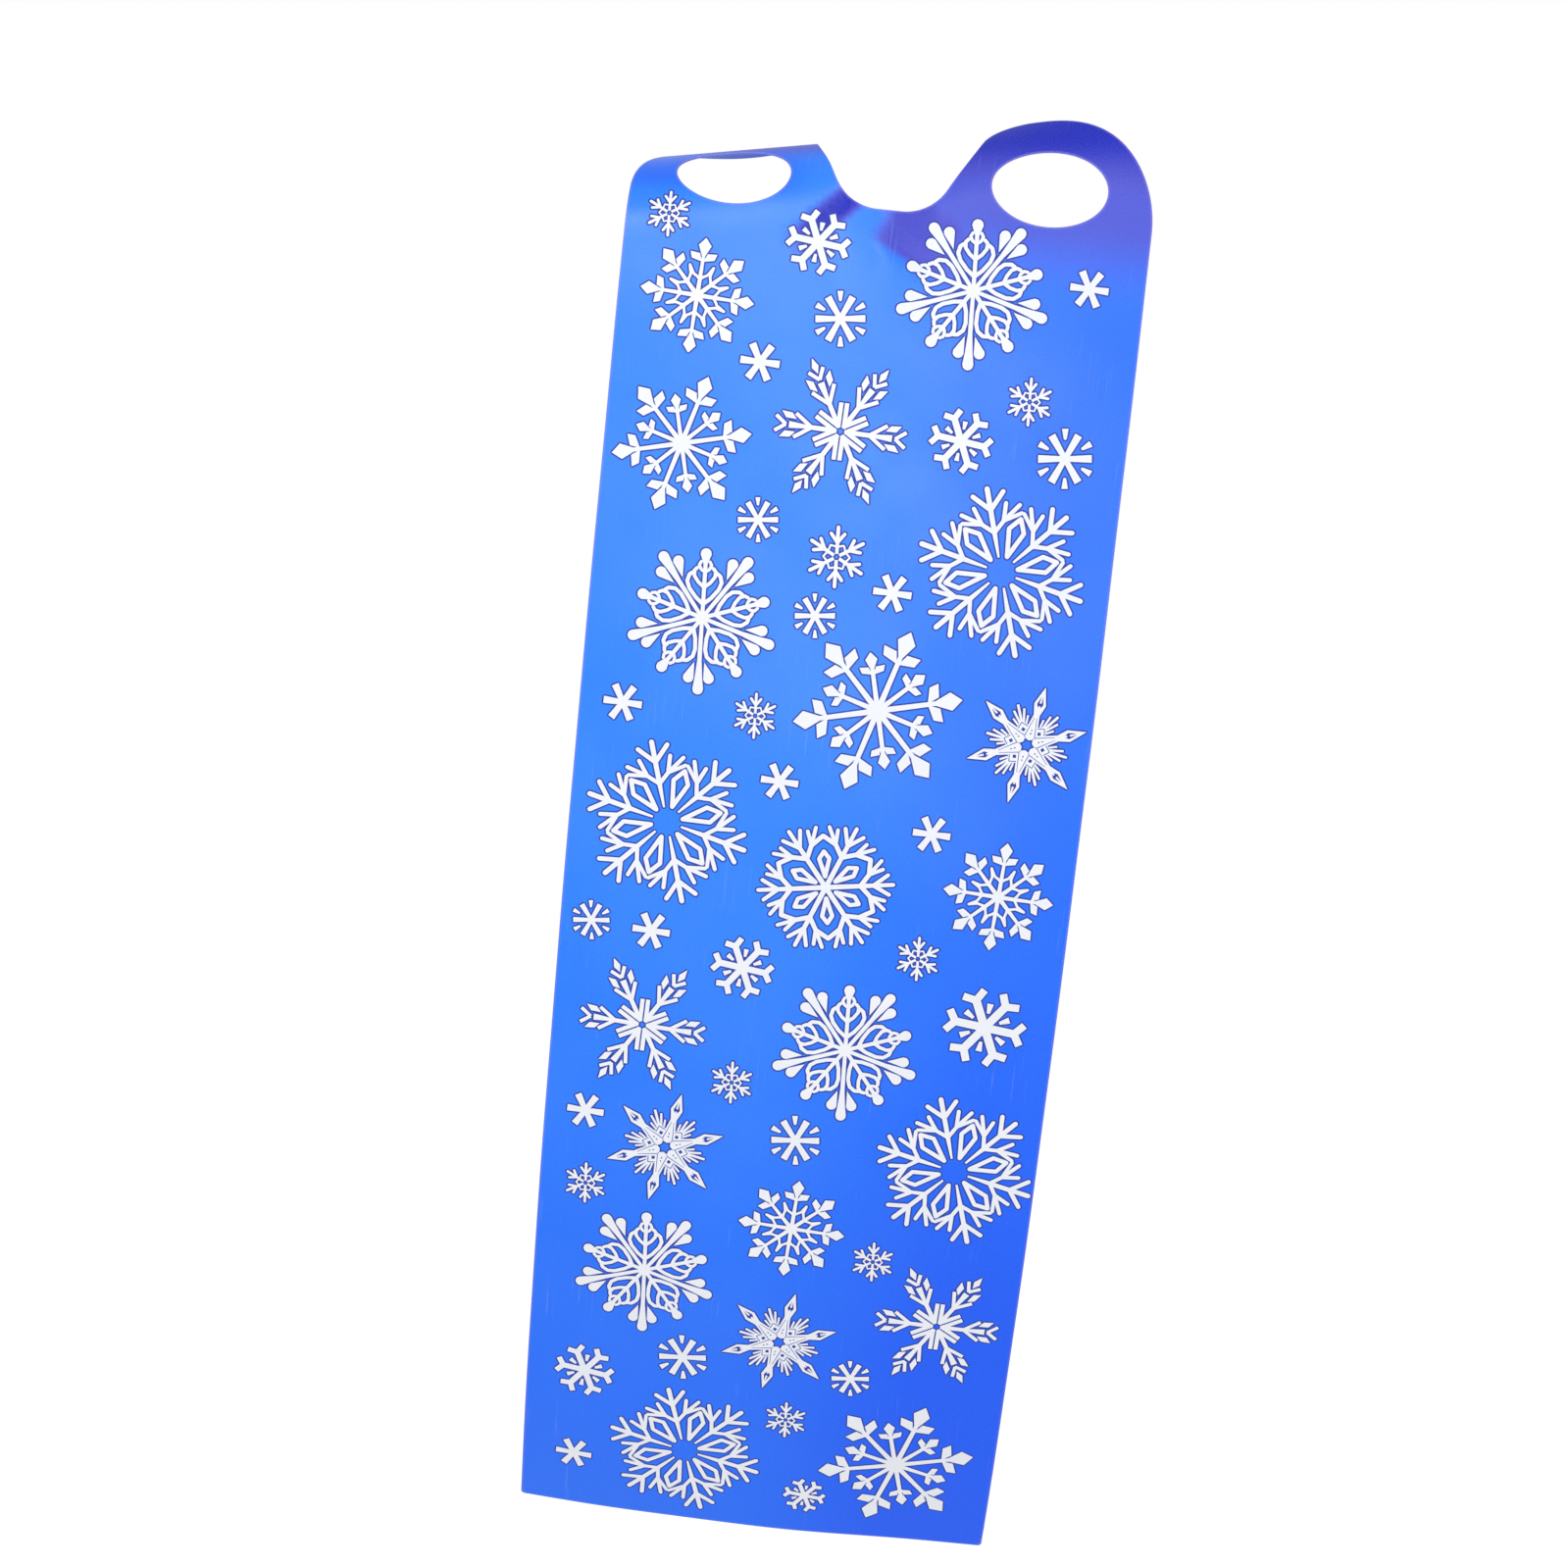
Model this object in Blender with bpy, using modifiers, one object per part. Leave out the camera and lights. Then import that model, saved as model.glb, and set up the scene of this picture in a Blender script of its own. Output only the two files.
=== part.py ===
"""Roll-up snow sled: one flexible polyethylene sheet with two handle lobes, hanging by its finger notch.

The sheet is modelled as it bends. A grip section carries the two handle lobes, and below it the sheet
is a row of strips, which turn on the straight lines along which it bends and rolls up, printed side out.
Metres, +Z up. The origin is at the bottom of the finger notch, where the sled is held.
The printed front faces -Y, and every strip turns on a line in the level of the back of its side edges.
"""

import math

import bmesh
import bpy
from mathutils import Vector

# The sheet as it is cut
sheet_width = 0.400
sheet_thickness = 0.0012
length_below_notch = 1.1225

# The outline of the two handle lobes, above the bottom of the notch
lobe_height = 0.0953
lobe_inner_corner_radius = 0.0395
lobe_inner_corner_from_middle = 0.1008
lobe_top_between_corners = 0.0064
lobe_side_straight_above_notch = 0.0025
notch_radius = 0.0394
notch_flat_half_width = 0.0075

# The oval hand holes, each between a place from the middle and a margin at the sheet's side edge
hand_hole_half_height = 0.0292
left_hole_starts_from_middle = 0.0782
left_hole_side_margin = 0.0332
left_hole_above_notch = 0.0233
right_hole_starts_from_middle = 0.0753
right_hole_side_margin = 0.0361
right_hole_above_notch = 0.0294

# The curl that storage has left in each lobe: where it starts on the sheet's side edge, along which
# line it runs, how tight it is, and over what length it tightens
left_curl_starts_below_notch = 0.0478
left_curl_slant = math.radians(10.4)
left_curl_radius = 0.0615
right_curl_starts_above_notch = 0.0390
right_curl_slant = math.radians(19.7)
right_curl_radius = 0.0690
curl_ramp = 0.026

# The fold line of each lobe, which starts on the notch's round and ends on the sheet's side edge
fold_starts_on_notch_round = math.radians(24.8)
right_fold_ends_below_notch = 0.0120
fold_gap = 0.0009

# The pinch at the notch: a low ridge that runs down from it and fades out at the end of the grip
pinch_height = 0.0060
pinch_half_width = 0.0400
middle_fade = 0.0550

# The way the sheet hangs: the lean of its tangent from the vertical, positive towards the back
grip_lean = math.radians(-5.9)
steady_curl = math.radians(12.8)
end_curl = math.radians(13.7)

# The crown: below the lobes the sheet bulges forward across its width
crown_height = 0.0060
crown_starts_below_notch = 0.0150

# The strips, of which the first ones bend forward too and so stand further apart
grip_length_below_notch = 0.0600
strip_count = 36
forward_bending_strips = 14
forward_bending_gap = 0.0009
strip_gap = 0.0003

# How finely the bent pieces are divided
corner_points = 14
hole_points = 44
curl_slices = 14
grip_slices = 10
pinch_slices = 10
crown_slices = 9
curl_steps = 24

# Colour of the plastic
sheet_blue = (0.030, 0.175, 0.920, 1.0)
sheet_roughness = 0.42

half_width = sheet_width / 2
pinch_plane_setback = pinch_height + sheet_thickness / 2
strip_pitch = (length_below_notch - grip_length_below_notch) / strip_count
weld_distance = sheet_thickness / 100
flat_limit = math.radians(0.05)

up_the_grip = Vector((0, -math.sin(grip_lean), math.cos(grip_lean)))
out_of_the_grip = Vector((0, -math.cos(grip_lean), -math.sin(grip_lean)))
across = Vector((1, 0, 0))


def smooth_step(value):
    value = min(max(value, 0.0), 1.0)
    return value * value * (3 - 2 * value)


def lean_at(below_notch):
    """The lean of the hanging sheet at a distance below the notch: its own curl grows to the free end."""
    share = below_notch / length_below_notch
    return grip_lean + steady_curl * share + end_curl * share**3


def crown_at(across_at):
    """How far the crown stands forward of the sheet's side edges."""
    return crown_height * (1 - (across_at / half_width) ** 2)


def curl_of(distance, radius):
    """How far along, how far back and how steep the curled sheet is, a distance past the curl's start."""
    along, back, angle = 0.0, 0.0, 0.0
    if distance <= 0:
        return distance, back, angle
    step = distance / curl_steps
    for index in range(curl_steps):
        middle = (index + 0.5) * step
        middle_angle = curl_angle(middle, radius)
        along += step * math.cos(middle_angle)
        back += step * math.sin(middle_angle)
    return along, back, curl_angle(distance, radius)


def curl_angle(distance, radius):
    if distance < curl_ramp:
        return distance**2 / (2 * curl_ramp * radius)
    return (distance - curl_ramp / 2) / radius


def curled(side, across_at, up_at):
    """A point of the sheet on one side's curl, and the way its front faces there."""
    if side < 0:
        start = -left_curl_starts_below_notch
        slant, radius = left_curl_slant, left_curl_radius
    else:
        start = right_curl_starts_above_notch
        slant, radius = right_curl_slant, right_curl_radius
    line = across * math.cos(slant) + up_the_grip * math.sin(slant)
    climb = up_the_grip * math.cos(slant) - across * math.sin(slant)
    from_start_across = across_at - side * half_width
    from_start_up = up_at - start
    on_line = from_start_across * math.cos(slant) + from_start_up * math.sin(slant)
    off_line = from_start_up * math.cos(slant) - from_start_across * math.sin(slant)
    along, back, angle = curl_of(off_line, radius)
    start_point = across * (side * half_width) + up_the_grip * start
    point = start_point + line * on_line + climb * along - out_of_the_grip * back
    facing = out_of_the_grip * math.cos(angle) + climb * math.sin(angle)
    return point, facing


def head_point(across_at, up_at, depth):
    """The place of a point of the flat head once it is curled, pinched and crowned."""
    flat_point = across * across_at + up_the_grip * up_at
    side = -1 if across_at < 0 else 1
    share = smooth_step(abs(across_at) / middle_fade)
    curled_point, curled_facing = curled(side, across_at, up_at)
    point = flat_point.lerp(curled_point, share)
    facing = out_of_the_grip.lerp(curled_facing, share).normalized()
    pinch_across = smooth_step(1 - abs(across_at) / pinch_half_width)
    pinch = pinch_across * smooth_step(1 + up_at / grip_length_below_notch)
    crown_run = grip_length_below_notch - crown_starts_below_notch
    crown_share = smooth_step((-up_at - crown_starts_below_notch) / crown_run)
    forward = pinch_height * pinch + crown_at(across_at) * crown_share * (1 - pinch)
    return point + out_of_the_grip * (forward - pinch_plane_setback) + facing * depth


def arc(centre, radius_across, radius_up, start, end, points):
    """Points of a round or oval arc in the flat sheet, as pairs of across and up."""
    found = []
    for index in range(points + 1):
        angle = start + (end - start) * index / points
        across_at = centre[0] + radius_across * math.cos(angle)
        found.append((across_at, centre[1] + radius_up * math.sin(angle)))
    return found


def lobe_outline(side, start_on_notch_round):
    """The cut edge from the notch's round over the lobe to the side edge, on one side of the sheet."""
    notch_centre = (notch_flat_half_width, notch_radius)
    inner_centre = (lobe_inner_corner_from_middle, lobe_height - lobe_inner_corner_radius)
    outer_centre = (inner_centre[0] + lobe_top_between_corners, lobe_side_straight_above_notch)
    step_across = inner_centre[0] - notch_centre[0]
    step_up = inner_centre[1] - notch_centre[1]
    both_radii = notch_radius + lobe_inner_corner_radius
    apart = math.hypot(step_across, step_up)
    tangent = math.atan2(step_up, step_across) - math.acos(min(both_radii / apart, 1.0))
    quarter = math.pi / 2
    start = start_on_notch_round - quarter
    inner = lobe_inner_corner_radius
    outer_across = half_width - outer_centre[0]
    outer_up = lobe_height - outer_centre[1]
    points = arc(notch_centre, notch_radius, notch_radius, start, tangent, corner_points)
    points += arc(inner_centre, inner, inner, tangent + math.pi, quarter, corner_points)
    points += arc(outer_centre, outer_across, outer_up, quarter, 0, corner_points)
    return [(side * across_at, up_at) for across_at, up_at in points]


def fold_start(side, angle):
    """The point of the notch's round where a fold line starts."""
    across_at = notch_flat_half_width + notch_radius * math.sin(angle)
    return side * across_at, notch_radius * (1 - math.cos(angle))


def fold_end(side):
    """The point of the side edge where a fold line ends."""
    if side > 0:
        return half_width, -right_fold_ends_below_notch
    inner = fold_start(side, fold_starts_on_notch_round)
    return -half_width, inner[1] - (half_width + inner[0]) * math.tan(left_curl_slant)


def flat_solid(name, outlines):
    """A flat solid of the sheet's thickness from closed outlines: the first is its edge, others are holes."""
    curve = bpy.data.curves.new(name, "CURVE")
    curve.dimensions = "2D"
    curve.fill_mode = "BOTH"
    curve.extrude = sheet_thickness / 2
    for outline in outlines:
        spline = curve.splines.new("POLY")
        spline.points.add(len(outline) - 1)
        for point, (across_at, up_at) in zip(spline.points, outline):
            point.co = (across_at, up_at, 0, 1)
        spline.use_cyclic_u = True
    guide = bpy.data.objects.new(name + "_outline", curve)
    bpy.context.scene.collection.objects.link(guide)
    graph = bpy.context.evaluated_depsgraph_get()
    mesh = bpy.data.meshes.new_from_object(guide.evaluated_get(graph))
    bpy.data.objects.remove(guide)
    return mesh


def sliced(bm, point, normal):
    """Divides the flat solid along a plane, so that it can bend there."""
    geometry = bm.verts[:] + bm.edges[:] + bm.faces[:]
    bmesh.ops.bisect_plane(bm, geom=geometry, dist=weld_distance, plane_co=point, plane_no=normal)


def bent_piece(name, outlines, slices, material, collection):
    """A flat solid, divided along the given lines and bent to its place in the hanging sheet."""
    mesh = flat_solid(name, outlines)
    bm = bmesh.new()
    bm.from_mesh(mesh)
    bmesh.ops.remove_doubles(bm, verts=bm.verts, dist=weld_distance)
    bmesh.ops.dissolve_limit(bm, angle_limit=flat_limit, verts=bm.verts, edges=bm.edges)
    for point, normal in slices:
        sliced(bm, point, normal)
    bmesh.ops.triangulate(bm, faces=bm.faces)
    for vert in bm.verts:
        depth = vert.co.z + sheet_thickness / 2
        vert.co = head_point(vert.co.x, vert.co.y, depth)
    bmesh.ops.recalc_face_normals(bm, faces=bm.faces)
    bm.to_mesh(mesh)
    bm.free()
    mesh.materials.clear()
    mesh.materials.append(material)
    mesh.shade_smooth()
    mesh.set_sharp_from_angle(angle=math.radians(40))
    piece = bpy.data.objects.new(name, mesh)
    collection.objects.link(piece)
    return piece


def lobe_slices(side):
    """The lines along which a lobe's solid bends: those of its curl."""
    slant = left_curl_slant if side < 0 else right_curl_slant
    start = -left_curl_starts_below_notch if side < 0 else right_curl_starts_above_notch
    normal = Vector((-math.sin(slant), math.cos(slant), 0))
    longest = lobe_height - start + half_width * abs(math.sin(slant))
    slices = []
    for index in range(1, curl_slices + 1):
        on_edge = Vector((side * half_width, start, 0))
        slices.append((on_edge + normal * (longest * index / curl_slices), normal))
    return slices


def hand_hole(side):
    """The oval hand hole of one lobe."""
    starts = left_hole_starts_from_middle if side < 0 else right_hole_starts_from_middle
    ends = half_width - (left_hole_side_margin if side < 0 else right_hole_side_margin)
    centre_up = left_hole_above_notch if side < 0 else right_hole_above_notch
    centre = (side * (starts + ends) / 2, centre_up)
    return arc(centre, (ends - starts) / 2, hand_hole_half_height, 0, 2 * math.pi, hole_points)[:-1]


def handle_lobe(name, side, material, collection):
    """A handle lobe with its oval hand hole, above its fold line."""
    outline = lobe_outline(side, fold_starts_on_notch_round + fold_gap / notch_radius)
    end = fold_end(side)
    outline.append((end[0], end[1] + fold_gap))
    return bent_piece(name, [outline, hand_hole(side)], lobe_slices(side), material, collection)


def grip_section(name, material, collection):
    """The part with the pinched ridge, between the fold lines of the lobes and the first bending line."""
    bottom = -grip_length_below_notch + forward_bending_gap / 2
    outline = [(-half_width, bottom), (half_width, bottom), fold_end(1)]
    quarter = math.pi / 2
    start = fold_starts_on_notch_round - quarter
    notch_centre = (notch_flat_half_width, notch_radius)
    right_round = arc(notch_centre, notch_radius, notch_radius, start, -quarter, corner_points)
    outline += right_round
    outline += [(-across_at, up_at) for across_at, up_at in reversed(right_round)]
    outline.append(fold_end(-1))
    slices = []
    for index in range(1, pinch_slices):
        place = pinch_half_width * (2 * index / pinch_slices - 1)
        slices.append((Vector((place, 0, 0)), across))
    for index in range(1, crown_slices):
        place = half_width * (2 * index / crown_slices - 1)
        slices.append((Vector((place, 0, 0)), across))
    for index in range(1, grip_slices):
        place = -grip_length_below_notch * index / grip_slices
        slices.append((Vector((0, place, 0)), Vector((0, 1, 0))))
    return bent_piece(name, [outline], slices, material, collection)


def strip_mesh(gap_above, gap_below, material):
    """The crowned back face of one strip, hanging down from the line that the strip turns on."""
    length = strip_pitch - (gap_above + gap_below) / 2
    bm = bmesh.new()
    bmesh.ops.create_grid(bm, x_segments=crown_slices, y_segments=1, size=half_width)
    for vert in bm.verts:
        from_top = gap_above / 2 + length * (0.5 - vert.co.y / sheet_width)
        vert.co = (vert.co.x, -crown_at(vert.co.x), -from_top)
    bmesh.ops.recalc_face_normals(bm, faces=bm.faces)
    for face in bm.faces:
        if face.normal.y > 0:
            face.normal_flip()
    mesh = bpy.data.meshes.new("roll_strip")
    bm.to_mesh(mesh)
    bm.free()
    mesh.materials.append(material)
    return mesh


def rolling_strips(material, collection):
    """The strips below the grip, each on its bending line at the end of the one above it."""
    place = up_the_grip * -grip_length_below_notch - out_of_the_grip * pinch_plane_setback
    for number in range(strip_count):
        gap_above = forward_bending_gap if number < forward_bending_strips else strip_gap
        gap_below = forward_bending_gap if number + 1 < forward_bending_strips else strip_gap
        mesh = strip_mesh(gap_above, gap_below, material)
        middle = grip_length_below_notch + (number + 0.5) * strip_pitch
        lean = lean_at(middle)
        strip = bpy.data.objects.new(f"roll_strip_{number + 1:02d}", mesh)
        strip.location = place
        strip.rotation_euler = (lean, 0, 0)
        collection.objects.link(strip)
        solid = strip.modifiers.new("thickness", "SOLIDIFY")
        solid.thickness = sheet_thickness
        solid.offset = 1
        place = place + Vector((0, math.sin(lean), -math.cos(lean))) * strip_pitch


def blue_polyethylene():
    material = bpy.data.materials.new("blue_polyethylene")
    material.use_nodes = True
    shader = material.node_tree.nodes["Principled BSDF"]
    shader.inputs["Base Color"].default_value = sheet_blue
    shader.inputs["Roughness"].default_value = sheet_roughness
    shader.inputs["Metallic"].default_value = 0
    material.diffuse_color = sheet_blue
    return material


for old in list(bpy.data.objects):
    bpy.data.objects.remove(old)

sled = bpy.data.collections.new("roll_up_snow_sled")
bpy.context.scene.collection.children.link(sled)
blue = blue_polyethylene()
grip_section("grip_section", blue, sled)
handle_lobe("left_handle_lobe", -1, blue, sled)
handle_lobe("right_handle_lobe", 1, blue, sled)
rolling_strips(blue, sled)
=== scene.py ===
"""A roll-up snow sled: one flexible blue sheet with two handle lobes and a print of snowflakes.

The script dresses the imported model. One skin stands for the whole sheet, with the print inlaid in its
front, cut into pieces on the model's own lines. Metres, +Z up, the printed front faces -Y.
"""

import math

import bpy
import numpy as np
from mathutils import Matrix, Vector
from mathutils.geometry import delaunay_2d_cdt


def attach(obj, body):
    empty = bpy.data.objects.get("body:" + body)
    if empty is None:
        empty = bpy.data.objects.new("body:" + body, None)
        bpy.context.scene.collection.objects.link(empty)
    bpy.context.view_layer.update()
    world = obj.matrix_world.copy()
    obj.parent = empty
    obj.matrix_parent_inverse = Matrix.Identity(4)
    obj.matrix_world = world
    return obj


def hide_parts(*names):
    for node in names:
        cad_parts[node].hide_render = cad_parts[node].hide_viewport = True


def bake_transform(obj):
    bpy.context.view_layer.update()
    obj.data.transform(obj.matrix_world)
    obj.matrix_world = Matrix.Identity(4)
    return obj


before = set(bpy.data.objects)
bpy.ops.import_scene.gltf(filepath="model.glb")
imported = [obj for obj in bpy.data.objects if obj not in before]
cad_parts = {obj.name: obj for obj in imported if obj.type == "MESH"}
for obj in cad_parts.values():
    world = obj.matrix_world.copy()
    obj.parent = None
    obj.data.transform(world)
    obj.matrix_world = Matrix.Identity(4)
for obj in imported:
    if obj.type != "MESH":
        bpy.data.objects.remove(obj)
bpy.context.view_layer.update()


# The view: straight in front of the sled and above its middle, looking down and tilted by a few
# degrees. The flakes of the print are placed by this view, so it comes before the sheet.
picture_size = 1599
sensor_width = 36.0
lens_length = 60.23
camera_place = (0.0113, -2.0395, -0.0829)
camera_turn = (math.radians(79.776), math.radians(-5.820), math.radians(2.342))

camera_data = bpy.data.cameras.new("camera")
camera_data.sensor_width = sensor_width
camera_data.lens = lens_length
camera = bpy.data.objects.new("camera", camera_data)
camera.location = camera_place
camera.rotation_euler = camera_turn
bpy.context.scene.collection.objects.link(camera)
bpy.context.scene.camera = camera
camera_axes = np.array(camera.rotation_euler.to_matrix())


def in_picture(points):
    """The places of points in the picture, in pixels from its top left corner."""
    sideways, upwards, behind = (np.asarray(points) - camera_place).dot(camera_axes).T
    scale = lens_length / sensor_width * picture_size
    middle = picture_size / 2
    return np.stack((middle - scale * sideways / behind, middle + scale * upwards / behind), axis=-1)


# The sheet: extruded polyethylene, 1.2 mm thick, hanging from the bottom of its finger notch.
# Storage has left a curl in it, which turns both lobes and the free end to the back. At the notch
# it is pinched into a ridge between two dents, and below that it is crowned across its width.
sheet_width = 0.400
sheet_thickness = 0.0012
length_below_notch = 1.1225
half_width = sheet_width / 2

grip_lean = math.radians(-5.9)
steady_curl = math.radians(12.8)
end_curl = math.radians(13.7)
lean_starts, lean_settles = 0.045, 0.090
hang_step = 0.0005
hang_overrun_share = 1.2

left_curl_starts_below_notch = 0.0478
left_curl_slant = math.radians(10.4)
left_curl_radius = 0.0615
right_curl_starts_above_notch = 0.0390
right_curl_slant = math.radians(19.7)
right_curl_radius = 0.0690
curl_ramp = 0.026
longest_curl = 0.30
middle_fade = 0.0550

pinch_height = 0.0060
pinch_half_width = 0.0400
pinch_fades_below_notch = 0.110
crown_height = 0.0060
crown_settles_below_notch = 0.105

# The waves of the slack plastic: the height of each, how fast it turns across and up, and its phase
waves = ((0.0009, 19, 27, 1.0), (0.0005, -34, 16, 2.1))
waves_start_below_notch, waves_grow_over = 0.02, 0.10

# The ridge runs down from the notch. A dent has its side, its start and its end, both given from the
# middle and above the notch, and the shares of its length where it sets in and fades
ridge_height, ridge_half_width = 0.0011, 0.015
ridge_below_notch, ridge_above_notch = 0.105, 0.06
dent_depth, dent_half_width = 0.0024, 0.013
left_dent = (-1, (0.026, 0.016), (0.070, -0.031))
right_dent = (1, (-0.006, -0.018), (0.046, -0.044))
dent_starts_share, dent_sets_in_share = -0.1, 0.35
dent_ends_share, dent_fades_share = 1.2, 0.9

up_the_grip = np.array((0, -math.sin(grip_lean), math.cos(grip_lean)))
out_of_the_grip = np.array((0, -math.cos(grip_lean), -math.sin(grip_lean)))
across = np.array((1.0, 0, 0))


def eased(value):
    """A smooth step from 0 to 1."""
    value = np.clip(value, 0.0, 1.0)
    return value * value * (3 - 2 * value)


hang_at = np.arange(0, hang_overrun_share * length_below_notch, hang_step)
hang_share = hang_at / length_below_notch
hang_lean = steady_curl * hang_share + end_curl * hang_share**3
hang_lean = grip_lean + hang_lean * eased((hang_at - lean_starts) / (lean_settles - lean_starts))
hang_back = np.concatenate(((0,), np.cumsum(np.sin(hang_lean[:-1]) * hang_step)))
hang_up = np.concatenate(((0,), np.cumsum(-np.cos(hang_lean[:-1]) * hang_step)))

curl_at = np.arange(0, longest_curl, hang_step)


def curl_path(radius):
    """How far along, how far back and how steep the sheet is at each step of a curl."""
    angle = np.where(curl_at < curl_ramp, curl_at**2 / (2 * curl_ramp), curl_at - curl_ramp / 2) / radius
    middle = (angle[1:] + angle[:-1]) / 2
    along = np.concatenate(((0,), np.cumsum(np.cos(middle) * hang_step)))
    back = np.concatenate(((0,), np.cumsum(np.sin(middle) * hang_step)))
    return along, back, angle


curls = (
    (-1, -left_curl_starts_below_notch, left_curl_slant, curl_path(left_curl_radius)),
    (1, right_curl_starts_above_notch, right_curl_slant, curl_path(right_curl_radius)),
)


def beside_dent(from_middle, above, side, start, end):
    """How far along a dent points are, as a share of it, and how far above its line."""
    run = np.subtract(end, start)
    length = np.linalg.norm(run)
    past = np.stack((side * from_middle - start[0], above - start[1]), axis=1)
    return past.dot(run) / length**2, past.dot((-run[1], run[0])) / length


def pressed(from_middle, above):
    """The sharp ridge below the notch, and the two shallow dents that spread from it under the lobes."""
    height = ridge_height * eased(1 - np.abs(from_middle) / ridge_half_width)
    height *= eased(1 + above / ridge_below_notch) * eased((ridge_above_notch - above) / ridge_above_notch)
    for dent in (left_dent, right_dent):
        share, off = beside_dent(from_middle, above, *dent)
        depth = eased(1 - np.abs(off) / dent_half_width)
        depth *= eased((share - dent_starts_share) / dent_sets_in_share)
        depth *= eased((dent_ends_share - share) / dent_fades_share)
        height = height - dent_depth * depth
    return height


def sheet_place(flat, depth):
    """The places of points of the flat sheet as it hangs: depth 0 is its back, its thickness the front."""
    flat = np.asarray(flat, float)
    from_middle, above = flat[:, 0], flat[:, 1]
    below = np.maximum(-above, 0)
    lean = np.interp(below, hang_at, hang_lean)
    facing = np.stack((0 * lean, -np.cos(lean), -np.sin(lean)), axis=1)
    hung_back, hung_up = np.interp(below, hang_at, hang_back), np.interp(below, hang_at, hang_up)
    hanging = np.stack((0 * lean, hung_back, hung_up), axis=1)
    place = hanging + np.outer(np.maximum(above, 0), up_the_grip) + np.outer(from_middle, across)
    curl_share = eased(np.abs(from_middle) / middle_fade)[:, None]
    curled_facing = facing.copy()
    for side, start, slant, (path_along, path_back, path_angle) in curls:
        climb = up_the_grip * math.cos(slant) - across * math.sin(slant)
        past = (above - start) * math.cos(slant) - (from_middle - side * half_width) * math.sin(slant)
        past = np.where((from_middle < 0) == (side < 0), np.maximum(past, 0), 0)
        along = np.interp(past, curl_at, path_along) - past
        back = np.interp(past, curl_at, path_back)
        angle = np.interp(past, curl_at, path_angle)
        place += curl_share * (np.outer(along, climb) - np.outer(back, out_of_the_grip))
        turned = np.outer(np.cos(angle), out_of_the_grip) + np.outer(np.sin(angle), climb)
        curled_facing = np.where((past > 0)[:, None], turned, curled_facing)
    pinch = eased(1 - np.abs(from_middle) / pinch_half_width) * eased(1 + above / pinch_fades_below_notch)
    crown = crown_height * (1 - (from_middle / half_width) ** 2)
    crown *= eased(below / crown_settles_below_notch)
    swing = sum(
        height * np.sin(turns_across * from_middle + turns_up * above + phase)
        for height, turns_across, turns_up, phase in waves
    )
    swing = swing * eased((below - waves_start_below_notch) / waves_grow_over)
    forward = pinch_height * pinch + (crown + swing) * (1 - pinch) + pressed(from_middle, above)
    setback = pinch_height + sheet_thickness / 2
    place += facing * (forward - setback)[:, None]
    mixed = facing + (curled_facing - facing) * curl_share
    mixed /= np.linalg.norm(mixed, axis=1)[:, None]
    return place + mixed * np.broadcast_to(depth, below.shape)[:, None]


# The cut: a steel-rule die stamps the whole outline in one stroke, with the round finger notch
# between the two lobes and an oval hand hole in each. The lower corners are barely rounded.
lobe_height = 0.0953
lobe_inner_corner_radius = 0.0395
lobe_inner_corner_from_middle = 0.1008
lobe_top_between_corners = 0.0064
lobe_side_straight_above_notch = 0.0025
notch_radius = 0.0394
notch_flat_half_width = 0.0075
hand_hole_half_height = 0.0292
left_hole_centre, right_hole_centre = (-0.1225, 0.0233), (0.1196, 0.0294)
hand_hole_half_width = 0.0443
lower_corner_radius = 0.0030
points_per_corner, points_per_lower_corner, points_per_hole = 36, 6, 120
edge_step = 0.0050
no_length, no_area = 1e-9, 1e-12


def arc(centre, radius_across, radius_up, start, end, points=points_per_corner):
    """Points along a stretch of an ellipse."""
    angle = np.linspace(start, end, points + 1)
    across_at = centre[0] + radius_across * np.cos(angle)
    return np.stack((across_at, centre[1] + radius_up * np.sin(angle)), axis=1)


def right_half_of_cut():
    """The cut edge from the bottom of the notch over the right lobe and down to the free end."""
    notch = (notch_flat_half_width, notch_radius)
    inner = (lobe_inner_corner_from_middle, lobe_height - lobe_inner_corner_radius)
    outer = (inner[0] + lobe_top_between_corners, lobe_side_straight_above_notch)
    step = (inner[0] - notch[0], inner[1] - notch[1])
    tangent = math.acos(min((notch_radius + lobe_inner_corner_radius) / math.hypot(*step), 1.0))
    tangent = math.atan2(step[1], step[0]) - tangent
    quarter = math.pi / 2
    radius, low = lobe_inner_corner_radius, lower_corner_radius
    lower = (half_width - low, -length_below_notch + low)
    side = np.arange(outer[1] - edge_step, lower[1] + edge_step / 2, -edge_step)
    bottom = np.arange(lower[0] - edge_step, 0, -edge_step)
    return np.concatenate((
        arc(notch, notch_radius, notch_radius, -quarter, tangent),
        arc(inner, radius, radius, tangent + math.pi, quarter),
        arc(outer, half_width - outer[0], lobe_height - outer[1], quarter, 0),
        np.stack((0 * side + half_width, side), axis=1),
        arc(lower, low, low, 0, -quarter, points_per_lower_corner),
        np.stack((bottom, 0 * bottom - length_below_notch), axis=1),
    ))


right_half = right_half_of_cut()
cut_edge = np.concatenate((right_half, (right_half * (-1, 1))[::-1]))
hole_edges = [
    arc(centre, hand_hole_half_width, hand_hole_half_height, 0, 2 * math.pi, points_per_hole)[:-1]
    for centre in (left_hole_centre, right_hole_centre)
]
cut_loops = [cut_edge] + hole_edges


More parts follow.
